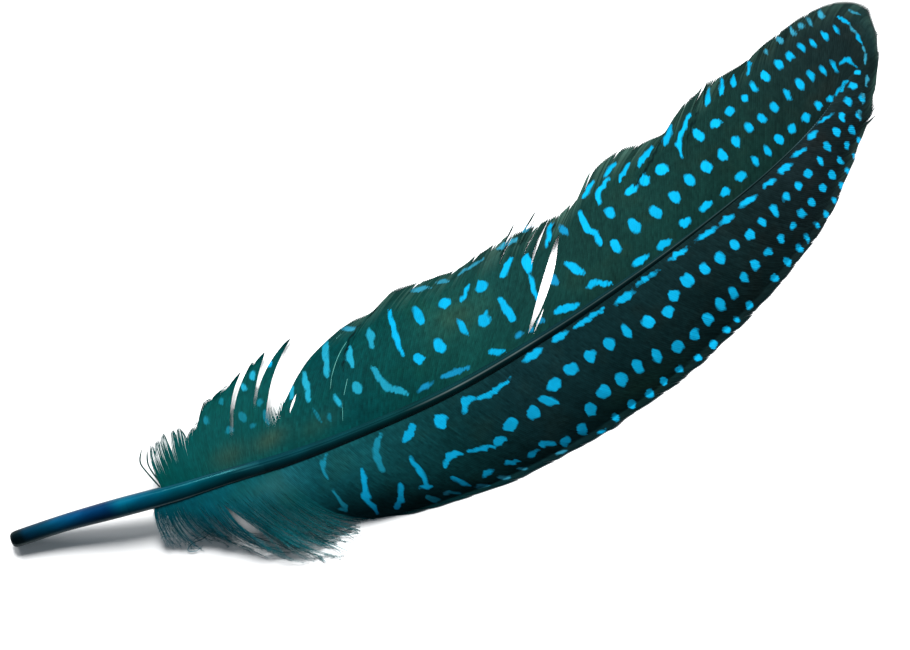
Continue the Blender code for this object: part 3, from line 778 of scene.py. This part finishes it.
def barb_material(name, roughness):
    """Dyed barbs: ground and marks from the points, with a fine uneven dye and barbule grain."""
    n = Nodes(name, Roughness=roughness, Specular_IOR_Level=0.03, Specular_Tint=(0.3, 0.9, 1.0, 1.0))
    place = n.place()
    fine = n.noise(place, 2600.0)
    distance = n.math("ADD", n.value("spot"), n.math("MULTIPLY_ADD", fine, 0.12, -0.06))
    inside = n.range(distance, -0.14, 0.14, 1.0, 0.0)
    dye = n.range(n.noise(place, 90.0, 3.0), 0.3, 0.7, 0.86, 1.14)
    barb = n.range(n.value("own"), 0.0, 1.0, 0.88, 1.12)
    along = n.add("ShaderNodeCombineXYZ", {0: n.value("out"), 1: n.math("MULTIPLY", n.value("own"), 60.0)})
    streak = n.range(n.noise(along, 0.8, 3.0), 0.3, 0.7, 0.70, 1.30)
    share = n.math("MULTIPLY", n.math("MULTIPLY", dye, barb), streak)
    ground = n.mix(1.0, n.colour("ground"), n.grey(share), "MULTIPLY")
    mark = n.mix(1.0, n.colour("mark"), n.grey(n.range(streak, 0.70, 1.30, 0.90, 1.08)), "MULTIPLY")
    olive = n.range(n.noise(place, 170.0, 2.0), 0.52, 0.72, 0.0, 0.55)
    ground = n.mix(olive, ground, n.mix(1.0, ground, (1.7, 0.93, 0.78, 1.0), "MULTIPLY"))
    pale = n.math("MULTIPLY", n.value("pale"), n.range(n.value("own"), 0.35, 0.8, 0.15, 1.0))
    ground = n.mix(pale, ground, (*linear(RIM_TONE), 1.0))
    inputs = {
        "Base Color": n.mix(inside, ground, mark),
        "Normal": n.bump(n.noise(along, 9.0, 1.0), 0.25, 0.00006),
    }
    n.fill(n.shader, inputs)
    return n.material


def shaft_material(name, gloss):
    """Horn, dyed unevenly, with streaks along it."""
    n = Nodes(name, Specular_IOR_Level=gloss, Specular_Tint=(0.15, 0.9, 1.0, 1.0))
    place = n.place()
    stretched = n.add("ShaderNodeMapping", {"Vector": place, "Scale": (0.12, 1.0, 1.0)})
    streaks = n.noise(stretched, 900.0, 3.0)
    blotches = n.range(n.noise(place, 130.0, 2.0), 0.3, 0.7, 0.75, 1.3)
    share = n.math("MULTIPLY", n.range(streaks, 0.3, 0.7, 0.85, 1.15), blotches)
    inputs = {
        "Base Color": n.mix(1.0, n.colour("ground"), n.grey(share), "MULTIPLY"),
        "Roughness": n.value("dull"),
        "Normal": n.bump(streaks, 0.2, 0.00008),
    }
    n.fill(n.shader, inputs)
    return n.material


def vane_side(first, last):
    """Barbs between two stations of the closed vane, spaced evenly along their tips."""
    tips = np.array([row[1:3] for row in VANE])
    along = np.concatenate(([0.0], np.cumsum(np.linalg.norm(np.diff(tips, axis=0), axis=1))))
    count = int(round((along[last] - along[first]) / BARB_PITCH)) + 1
    rows = smooth(along, VANE, np.linspace(along[first], along[last], count))
    return Barbs(np.insert(rows, 3, 0.0, axis=1), VANE_STEPS)


def gather(barbs, sizes, gap, start, shingle):
    """Barbs keep together in small groups: each group draws in at the rim and laps the next."""
    count = len(barbs.length)
    sideways = np.zeros_like(barbs.t)
    lift = np.zeros_like(barbs.t)
    k = 0
    while k < count:
        size = int(random.integers(*sizes))
        own_gap = random.uniform(*gap)
        own_start = random.uniform(*start)
        own_shingle = random.uniform(*shingle)
        rows = slice(k, min(k + size, count))
        place = np.linspace(1, -1, size)[: rows.stop - k, None]
        opened = np.clip((barbs.t[rows] - own_start) / (1 - own_start), 0, 1) ** 1.5
        sideways[rows] -= place * own_gap / 2 * opened
        lift[rows] += place * own_shingle / 2 * np.sin(np.pi * np.clip(barbs.t[rows], 0, 1)) ** 0.7
        k += size
    barbs.shift(sideways, lift)


def relax(barbs, across, height):
    """Slow wandering of the barbs, correlated between neighbours."""
    count = len(barbs.length)
    sideways = waviness(count, 22, across)[:, None] + waviness(count, 6, across * 0.35)[:, None]
    lift = waviness(count, 16, height)[:, None] + waviness(count, 4, height * 0.3)[:, None]
    barbs.shift(sideways * barbs.t ** 2, lift * np.sin(np.pi * np.clip(barbs.t, 0, 1)))


def giving_way(barbs, place, reach):
    """Which side of a point of the vane each barb lies on, less so the further off it is."""
    distance = barbs.distance_to(place)
    row, _ = np.unravel_index(distance.argmin(), distance.shape)
    index = np.arange(len(barbs.length))[:, None] - (row + 0.5)
    return -np.sign(index) * np.exp(-np.abs(index) / reach)


def part_at(barbs, place, width, begin, end, reach):
    """Opens a gap between the barbs on each side of a point of the vane."""
    span = np.clip((barbs.t - begin) / (end - begin), 0, 1)
    barbs.shift(giving_way(barbs, place, reach) * width / 2 * np.sin(np.pi * span) ** 0.8)


def crease_at(barbs, place, drop, begin, reach):
    """Lets the barbs on one side of a point lap over those on the other, out to the rim."""
    side = giving_way(barbs, place, reach)
    barbs.shift(0.0, side * drop / 2 * np.clip((barbs.t - begin) / 0.2, 0, 1))


def bow(t):
    """Sideways bow of the barbs beside the big gap, which opens part of the way along them."""
    return np.sin(np.pi * np.clip((t - GAP_START) / (1 - GAP_START), 0, 1)) ** 0.75


def draw_back(barbs, width, reach):
    """Bows the first barbs of a run away from the gap beside them."""
    near = np.exp(-np.arange(len(barbs.length)) / reach)[:, None]
    barbs.shift(-width * near * bow(barbs.t))


# Gaps and creases of the +Y vane, from the quill's end: place, width or drop, where along the
# barbs they begin and end, and how many barbs to each side give way
UPPER_GAPS = [
    ((54.9, -7.0), 0.55, 0.27, 0.42, 4),
    ((104.0, -13.4), 1.65, 0.08, 0.80, 9),
    ((100.0, -17.9), 0.40, 0.05, 0.22, 3),
    ((107.5, -5.2), 0.75, 0.66, 1.00, 5),
    ((106.5, -2.9), 0.50, 0.76, 1.08, 4),
    ((101.5, -2.6), 0.40, 0.76, 1.08, 4),
    ((97.3, -3.5), 0.22, 0.80, 1.08, 3),
    ((143.5, -1.0), 0.25, 0.80, 1.10, 3),
]
UPPER_CREASES = [
    ((113.0, -3.5), 0.30, 0.55, 12),
    ((131.0, -4.5), 0.22, 0.40, 10),
    ((141.0, -3.0), 0.25, 0.40, 12),
    ((72.0, -2.0), 0.30, 0.50, 10),
]

# The same for the one gap of the -Y vane and for the tear in the down
LOWER_GAP = ((167.4, -19.0), 0.35, 0.86, 1.10, 3)
DOWN_TEAR = ((36.6, -18.4), 1.7, 0.18, 1.0, 12)
BESIDE_DOWN = 16             # barbs over which the closed vane comes level with the down
BELOW_DOWN = 0.06

# How loose the barbs are, by lock
TUFT_HAIR = ((0, 0.8), (2, 0.5), (3, 0.3), (5, 0.15), (7, 0.05), (9, 0.0))
DOWN_HAIR = ((0, 0.2), (1, 0.8), (2, 1.0), (11, 1.0))
SINGLE_STEPS = np.linspace(0, 1, 25)     # along a barb that lies by itself


def lay_on(barbs, line):
    """Gives the places of a line, from the quill's end, the height of the barbs under them."""
    made = []
    for place in line:
        nearest = barbs.distance_to(place).argmin()
        made.append((*place, (barbs.under + barbs.depth).flat[nearest] - 0.02))
    return made


def upper_vane(material):
    barbs = vane_side(0, TIP_STATION)
    relax(barbs, 0.25, 0.10)
    gather(barbs, (7, 18), (0.0, 0.16), (0.80, 0.95), (0.0, 0.12))
    draw_back(barbs, GAP_BOW, 14)
    for gap in UPPER_GAPS:
        part_at(barbs, *gap)
    for crease in UPPER_CREASES:
        crease_at(barbs, *crease)
    barbs.sweep(2.8, 1)
    barbs.taper(1.6)
    tint = ((0, 0.85), (0.12, 1.0), (0.8, 1.0), (1, 0.8))
    add_barbs("upper_vane", barbs, UPPER_GROUND, material, tint, UPPER_RIM)
    edges = Barbs.along([lay_on(barbs, line) for line in PALE_EDGES], np.linspace(0, 1, 17), 0.05, 0.16)
    edges.taper(3.0, 0.012)
    add_barbs("pale_edges", edges, [(0, PALE_EDGE_TONE), (1, PALE_EDGE_TONE)], material)


def lower_vane(material):
    barbs = vane_side(TIP_STATION, len(VANE) - 1)
    level = barbs.under.copy()
    relax(barbs, 0.22, 0.10)
    gather(barbs, (8, 22), (0.0, 0.10), (0.85, 0.96), (0.0, 0.10))
    beside_down = np.exp(-np.arange(len(level))[::-1] / BESIDE_DOWN)[:, None]
    barbs.under += (level - BELOW_DOWN - barbs.under) * beside_down
    part_at(barbs, *LOWER_GAP)
    barbs.sweep(2.4, -1, settle=70)
    barbs.taper(1.6)
    tint = ((0, 1.4), (0.3, 1.1), (0.6, 0.95), (1, 0.75))
    add_barbs("lower_vane", barbs, LOWER_GROUND, material, tint, LOWER_RIM)


def fan(ends, per_lock, steps, whole):
    """Barbs of locks: side by side up to where their lock parts, and then drawn to its tip.

    The first and last rows of ends stand for what the locks lie between; of those in whole, the
    half that faces the locks is made too. Gives the barbs and their places in the run of locks.
    """
    places = []
    for k in range(len(ends)):
        for v in np.linspace(1 / per_lock - 1, 1 - 1 / per_lock, per_lock):
            beside = k - 1 if v < 0 else k + 1
            outside = beside in (-1, len(ends))
            at_end = k in (0, len(ends) - 1)
            if outside or (at_end and k not in whole):
                continue
            places.append((k, k + v / 2, ends[min(k, beside)][5]))
    lock, place, part = np.array(places).T
    lock = lock.astype(int)
    rows = np.array([row[:5] for row in ends])
    barbs = Barbs(smooth(np.arange(len(ends)), rows, place), steps)
    middles = Barbs(rows, steps)
    gone = np.clip((steps - part[:, None]) / (1 - part[:, None]), 0, 1)
    keep = (1 - gone) ** 0.6
    middle = middles.plan[lock]
    barbs.plan = middle + (barbs.plan - middle) * keep[..., None]
    barbs.half = barbs.half * keep
    return barbs, place


def shorten(values, steps, share):
    """Re-reads rows of values so that each row ends at its own share of its length."""
    made = np.empty_like(values)
    for i, part in enumerate(share):
        for c in range(values.shape[2]):
            made[i, :, c] = np.interp(steps * part, steps, values[i, :, c])
    return made


def frayed(ends, whole, per_lock, hair, spread, lift, thin, start, uneven, breaks=()):
    """Locks whose barbs come apart towards their tips, each lock by its own share of hair.

    The barbs wander by spread, rise by lift and, from start on, narrow to thin. Uneven is the
    part of their length within which they end.
    """
    steps = np.linspace(0.0, 1.0, 41)
    barbs, place = fan(ends, per_lock, steps, whole)
    count = len(place)
    loose = np.interp(place, *zip(*hair))
    share = 1 - random.uniform(0.0, 1.0, count) * (0.01 + uneven * loose)
    for first, last, left in breaks:
        broken = (place > first) & (place < last)
        share[broken] = left + random.uniform(0.0, 0.04, broken.sum())
    barbs.plan = shorten(barbs.plan, steps, share)
    barbs.under = shorten(barbs.under[..., None], steps, share)[..., 0]
    barbs.length = barbs.length * share
    loose = loose[:, None]
    wander = random.normal(0, spread, count)[:, None] * barbs.t ** 3
    wander += waviness(count, 5, spread)[:, None] * barbs.t ** 2
    wander += random.normal(0, spread * 0.5, count)[:, None] * np.sin(barbs.t * 5.0) * barbs.t ** 2
    rise = np.abs(random.normal(0, lift, count))[:, None] * barbs.t ** 2
    barbs.shift(wander * loose, rise * loose + random.uniform(-0.02, 0.02, count)[:, None])
    opened = loose * np.clip((barbs.t - start) / 0.45, 0, 1)
    barbs.half = np.maximum(barbs.half, 0.045)
    barbs.half = barbs.half * (1 - opened) + thin * opened
    barbs.depth = barbs.depth * (1 - opened) + 2 * thin * opened
    barbs.taper(0.25 + 1.6 * loose, 0.012)
    return barbs


BARBULE_HALF = 0.012         # half the width of a barbule at its foot


def fuzz(name, barbs, begin, pitch, reach, material):
    """Barbules: hair-thin pointed spikes on both sides of loose barbs, shorter towards the tips."""
    along, left = barbs.headings()
    middle = np.dstack((barbs.plan, barbs.under + barbs.depth * 0.6))
    rows = np.concatenate((middle, along, left), axis=2)
    picked = []
    shares = []
    for i, length in enumerate(barbs.length):
        share = begin + (1 - begin) * random.random(2 * int(length * (1 - begin) / pitch) + 2) ** 1.2
        column = share * (rows.shape[1] - 1)
        first = np.minimum(column.astype(int), rows.shape[1] - 2)
        part = (column - first)[:, None]
        picked.append(rows[i, first] * (1 - part) + rows[i, first + 1] * part)
        shares.append(share)
    base, ahead, aside = np.split(np.concatenate(picked), (3, 5), axis=1)
    at = np.concatenate(shares)[:, None]
    count = len(base)
    lean = np.radians(random.uniform(20, 55, count))[:, None]
    side = random.choice((-1.0, 1.0), count)[:, None]
    run = reach * random.uniform(0.5, 1.0, count)[:, None] * (1 - 0.55 * at)
    step = (ahead * np.cos(lean) + side * aside * np.sin(lean)) * run
    fall = random.uniform(-0.35, 0.15, count)[:, None] * run
    tip = np.column_stack((base[:, :2] + step, np.maximum(base[:, 2:] + fall, 0.02)))
    across = np.column_stack((-step[:, 1], step[:, 0])) / run * BARBULE_HALF
    flat = np.zeros((count, 1))
    low = np.column_stack((base[:, :2], np.maximum(base[:, 2] - 0.03, 0.0)))
    points = np.stack((base + np.hstack((across, flat)), base - np.hstack((across, flat)), low, tip), 1)
    index = np.arange(count * 4).reshape(-1, 4)
    faces = np.concatenate([index[:, row] for row in ((0, 1, 3), (1, 2, 3), (2, 0, 3), (0, 2, 1))])
    piece = add_piece(name, points, faces.tolist(), material)
    colours = ramp(DOWN_GROUND, points[..., 0].ravel())
    add_values(piece, "spot", np.full(count * 4, FAR))
    add_values(piece, "mark", colours)
    # painted light: lighter towards the tips, as on the down
    add_values(piece, "ground", colours * np.repeat(np.interp(at[:, 0], *zip(*DOWN_PAINTED_LIGHT)), 4)[:, None])
    add_values(piece, "own", np.repeat(random.random(count), 4))
    add_values(piece, "out", points[..., 1].ravel())


def beside_vane(index):
    """A station of the closed vane in the form of the locks."""
    root_x, tip_x, tip_y, angle = VANE[index]
    return (root_x, tip_x, tip_y, 0.0, angle, 0.9)


def beyond(first, second):
    """Row past the end of a run, as far from the first as the second is."""
    return tuple(2 * a - b for a, b in zip(first, second))


def tufts(material):
    ends = [beyond(TUFTS[0], TUFTS[1]), *TUFTS, beside_vane(0)]
    looseness = {"spread": 0.3, "lift": 0.25, "thin": 0.06, "start": 0.60, "uneven": 0.16}
    barbs = frayed(ends, (len(ends) - 1,), 14, TUFT_HAIR, **looseness, breaks=BREAKS)
    add_barbs("tufts", barbs, UPPER_GROUND, material)


def down(material):
    ends = [beside_vane(-1), *DOWN, beyond(DOWN[-1], DOWN[-2])]
    looseness = {"spread": 0.50, "lift": 0.20, "thin": 0.020, "start": 0.26, "uneven": 0.42}
    barbs = frayed(ends, (0,), 18, DOWN_HAIR, **looseness)
    part_at(barbs, *DOWN_TEAR)
    # painted light: the down is lightened towards its tips
    add_barbs("down", barbs, DOWN_GROUND, material, DOWN_PAINTED_LIGHT)
    fuzz("down_barbules", barbs, 0.10, 0.13, 1.2, material)
    wisps = Barbs.along(WISPS, SINGLE_STEPS, 0.065, 0.10)
    wisps.taper(5.0, 0.012)
    # painted light: the wisps are lightened towards their ends, against the shade they lie in
    add_barbs("down_wisps", wisps, DOWN_GROUND, material, ((0, 1.2), (1, 3.0)))


def strays(material):
    """Single barbs that have come loose from the tufts, and the stubs of broken ones."""
    barbs = Barbs.along(STRAYS, SINGLE_STEPS, 0.14, 0.16)
    barbs.taper(1.5, 0.015)
    add_barbs("stray_barbs", barbs, UPPER_GROUND, material)


def shaft_rings():
    first, last = SHAFT[0][0], SHAFT[-1][0]
    rim = ((0, 0.55), (0.15, 0.78), (0.4, 0.93), (1, 1))
    rounding = [(first + QUILL_TIP_ROUNDING * a, b) for a, b in rim]
    even = np.arange(first + QUILL_TIP_ROUNDING + SHAFT_STEP, last - FADE_LENGTH, SHAFT_STEP)
    return rounding + [(x, 1.0) for x in even] + [(last - 0.5, 0.7), (last, 0.25)]


def shaft(glossy, dull):
    """The shaft as one tube, rounder below than on top, with its cut end frayed and charred."""
    rings = shaft_rings()
    x = np.array([row[0] for row in rings])
    share = np.array([row[1] for row in rings])
    middle, radius = shaft_at(x)
    forward = np.gradient(middle, axis=0)
    forward /= np.linalg.norm(forward, axis=1, keepdims=True)
    side = np.cross((0, 0, 1), forward)
    side /= np.linalg.norm(side, axis=1, keepdims=True)
    up = np.cross(forward, side)
    turn = 2 * np.pi * np.arange(SHAFT_SIDES) / SHAFT_SIDES
    wide = np.cos(turn)
    high = np.sin(turn)
    high = np.where(high > 0, high * (1 - 0.08 * high), high)
    high = np.tile(high, (len(x), 1))
    high[:, SHAFT_GROOVES] -= GROOVE_DEPTH * np.interp(x, *GROOVE_REACH)[:, None]
    rough = np.clip(1 - (x - x[0]) / CUT_END_LENGTH, 0, 1)[:, None]
    reach = (radius * share)[:, None] * (1 - 0.10 * rough * random.random((len(x), SHAFT_SIDES)))
    points = middle[:, None] + side[:, None] * (reach * wide)[..., None]
    points += up[:, None] * (reach * high)[..., None]
    piece = add_piece("shaft", points, tube_faces(1, len(x), SHAFT_SIDES), glossy)
    piece.data.materials.append(dull)
    for face in piece.data.polygons:
        face.material_index = int(face.center.x > GLOSS_END * MM)
    # painted light and shade: the shaft is darkened on its -Y side, away from the light, and lightened part
    # way to its +Y side
    shade = np.interp(wide, *SHAFT_PAINTED_SHADE)
    # painted highlight: a pale line along the top of the shaft, a little to its +Y side
    crest_highlight = np.exp(-((wide - 0.15) / 0.09) ** 2) * (high > 0) * np.interp(x, *CREST_HIGHLIGHT_REACH)[:, None]
    colours = ramp(SHAFT_GROUND, points[..., 0].ravel()) * np.tile(shade, len(x))[:, None]
    colours += (linear(CREST_HIGHLIGHT_TONE) - colours) * crest_highlight.reshape(-1, 1)
    add_values(piece, "ground", colours)
    add_values(piece, "dull", np.repeat(np.interp(x, *SHAFT_DULLNESS), SHAFT_SIDES))
    piece.data.shade_smooth()


def build_feather():
    vane = barb_material("vane_barbs", 0.55)
    downy = barb_material("downy_barbs", 0.65)
    upper_vane(vane)
    lower_vane(vane)
    tufts(vane)
    down(downy)
    strays(vane)
    shaft(shaft_material("quill_horn", 0.15), shaft_material("shaft_keratin", 0.09))


# Camera and light
FRAME_WIDTH = 0.1628         # what the picture shows across at the surface (m)
FRAME_MIDDLE = (-0.0022, 0.0082)
PICTURE_TURN = -32.5         # of the camera's up direction about Z (degrees)
LENS = 100.0
SENSOR = 36.0
FLOOR_SIZE = 3.0
FLOOR_DROP = 0.00002         # keeps the floor clear of what lies on it
KEY_FROM = (0.40, 0.83, 0.98)
KEY_DISTANCE = 1.2
KEY_SIZE = 0.40
KEY_POWER = 30.0
SHEEN_FROM = (0.064, 0.877, 0.479)   # where the shaft's sheen at the tufts comes from
SHEEN_SIZE = 0.30
SHEEN_POWER = 6.0
FILL = 0.16
FILL_COLOUR = (0.86, 1.0, 1.1, 1.0)
# Light under the slit and the gaps, so that the board shows white in them: place (m) and power
GAP_LAMPS = [
    (0.0112, 0.0028, 0.0034, 1.6e-4),
    (0.0131, 0.0043, 0.0029, 1.3e-4),
    (0.0150, 0.0058, 0.0024, 1.1e-4),
    (0.0168, 0.0073, 0.0018, 0.8e-4),
    (0.0186, 0.0088, 0.0013, 0.6e-4),
    (-0.0322, 0.0194, 0.0012, 0.5e-4),
    (-0.0346, 0.0170, 0.0018, 0.8e-4),
    (-0.0362, 0.0143, 0.0024, 0.9e-4),
    (-0.0370, 0.0191, 0.0014, 0.5e-4),
    (-0.0421, 0.0186, 0.0018, 0.4e-4),
    (-0.0531, -0.0001, 0.0010, 0.07e-4),
    (-0.0519, -0.0022, 0.0008, 0.07e-4),
]
GAP_LAMP_SIZE = 0.0036


def add_camera():
    data = bpy.data.cameras.new("camera")
    data.lens = LENS
    data.sensor_width = SENSOR
    data.clip_start = 0.01
    camera = add_object("camera", data)
    camera.location = (*FRAME_MIDDLE, FRAME_WIDTH * LENS / SENSOR)
    camera.rotation_euler = (0.0, 0.0, math.radians(PICTURE_TURN))
    bpy.context.scene.camera = camera


def add_floor():
    mesh = bpy.data.meshes.new("floor")
    corners = [(x, y, 0.0) for x, y in ((-1, -1), (1, -1), (1, 1), (-1, 1))]
    mesh.from_pydata([(FLOOR_SIZE * x, FLOOR_SIZE * y, z) for x, y, z in corners], [], [(0, 1, 2, 3)])
    floor = add_object("floor", mesh)
    floor.location.z = -FLOOR_DROP
    n = Nodes("white_board", Roughness=0.9, Specular_IOR_Level=0.1)
    tone = n.range(n.noise(n.place(), 40.0), 0.0, 1.0, 0.86, 0.89)
    n.fill(n.shader, {"Base Color": n.grey(tone)})
    mesh.materials.append(n.material)


def add_lamp(name, place, toward, size, power):
    light = bpy.data.lights.new(name, "AREA")
    light.shape = "DISK"
    light.size = size
    light.energy = power
    lamp = add_object(name, light)
    lamp.location = place
    lamp.rotation_euler = toward.to_track_quat("Z", "Y").to_euler()


def add_lights():
    world = bpy.data.worlds.new("studio")
    world.use_nodes = True
    background = world.node_tree.nodes["Background"]
    background.inputs["Color"].default_value = FILL_COLOUR
    background.inputs["Strength"].default_value = FILL
    bpy.context.scene.world = world
    toward = Vector(KEY_FROM).normalized()
    add_lamp("key", toward * KEY_DISTANCE, toward, KEY_SIZE, KEY_POWER)
    toward = Vector(SHEEN_FROM).normalized()
    add_lamp("sheen", toward * KEY_DISTANCE, toward, SHEEN_SIZE, SHEEN_POWER)
    for *place, power in GAP_LAMPS:
        add_lamp("gap", place, Vector((0.0, 0.0, 1.0)), GAP_LAMP_SIZE, power)


build_feather()
bpy.context.scene.view_settings.view_transform = "Standard"
add_camera()
add_floor()
add_lights()
